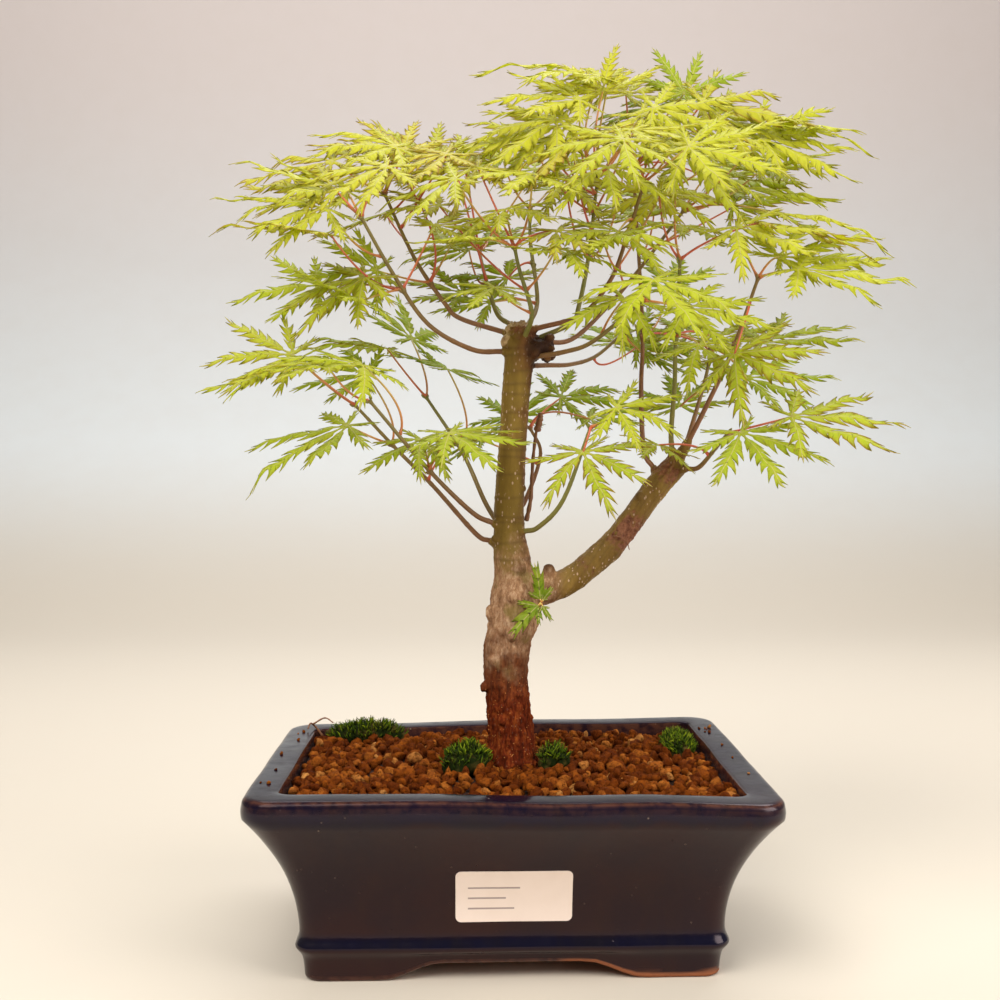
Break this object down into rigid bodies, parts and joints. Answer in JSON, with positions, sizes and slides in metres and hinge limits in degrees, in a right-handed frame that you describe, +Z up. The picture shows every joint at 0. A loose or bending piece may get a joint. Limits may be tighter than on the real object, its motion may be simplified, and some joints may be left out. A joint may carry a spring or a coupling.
{
  "type": "potted bonsai tree",
  "caption": "Laceleaf maple bonsai with a leaning side branch, in a glazed rectangular footed pot filled with clay granules and moss.",
  "frame": {"origin": "middle of the whole plant's footprint, on the surface the pot stands on", "axes": "+Z up along the trunk, +X to the right along the pot's long side seen from the label side, -Y towards the label side"},
  "size_m": [0.2746, 0.1824, 0.3473],
  "materials": {
    "glaze": "gloss",
    "akadama": "matte",
    "bark": "matte",
    "young_bark": "satin",
    "leaf": "satin",
    "moss": "matte",
    "label_paper": "satin"
  },
  "bodies": {
    "root": {"pot": "glaze", "soil": "akadama", "trunk": "bark", "label": "label_paper", "moss_left_of_trunk": "moss", "moss_right_of_trunk": "moss", "moss_back_corner": "moss", "moss_right_side": "moss", "shoot_a": "young_bark", "shoot_b": "young_bark", "shoot_c": "young_bark", "shoot_d": "young_bark", "shoot_f": "young_bark", "shoot_g": "young_bark", "shoot_h": "young_bark", "shoot_i": "young_bark", "shoot_j": "young_bark", "shoot_k": "young_bark", "shoot_l": "young_bark", "shoot_m": "young_bark", "shoot_o": "young_bark", "shoot_p": "young_bark", "shoot_q": "young_bark", "shoot_r": "young_bark", "shoot_t": "young_bark", "leaf_01_on_a": "leaf", "leaf_02_on_a": "leaf", "leaf_03_on_a": "leaf", "leaf_04_on_b": "leaf", "leaf_05_on_b": "leaf", "leaf_06_on_b": "leaf", "leaf_07_on_b": "leaf", "leaf_08_on_c": "leaf", "leaf_09_on_c": "leaf", "leaf_10_on_d": "leaf", "leaf_11_on_d": "leaf", "leaf_12_on_f": "leaf", "leaf_13_on_f": "leaf", "leaf_14_on_f": "leaf", "leaf_15_on_g": "leaf", "leaf_16_on_g": "leaf", "leaf_17_on_h": "leaf", "leaf_18_on_i": "leaf", "leaf_19_on_j": "leaf", "leaf_20_on_k": "leaf", "leaf_21_on_k": "leaf", "leaf_22_on_k": "leaf", "leaf_23_on_l": "leaf", "leaf_24_on_l": "leaf", "leaf_25_on_m": "leaf", "leaf_26_on_m": "leaf", "leaf_27_on_m": "leaf", "leaf_28_on_o": "leaf", "leaf_29_on_o": "leaf", "leaf_30_on_p": "leaf", "leaf_31_on_p": "leaf", "leaf_32_on_q": "leaf", "leaf_33_on_q": "leaf", "leaf_34_on_r": "leaf", "leaf_35_on_t": "leaf"}
  },
  "joints": []
}
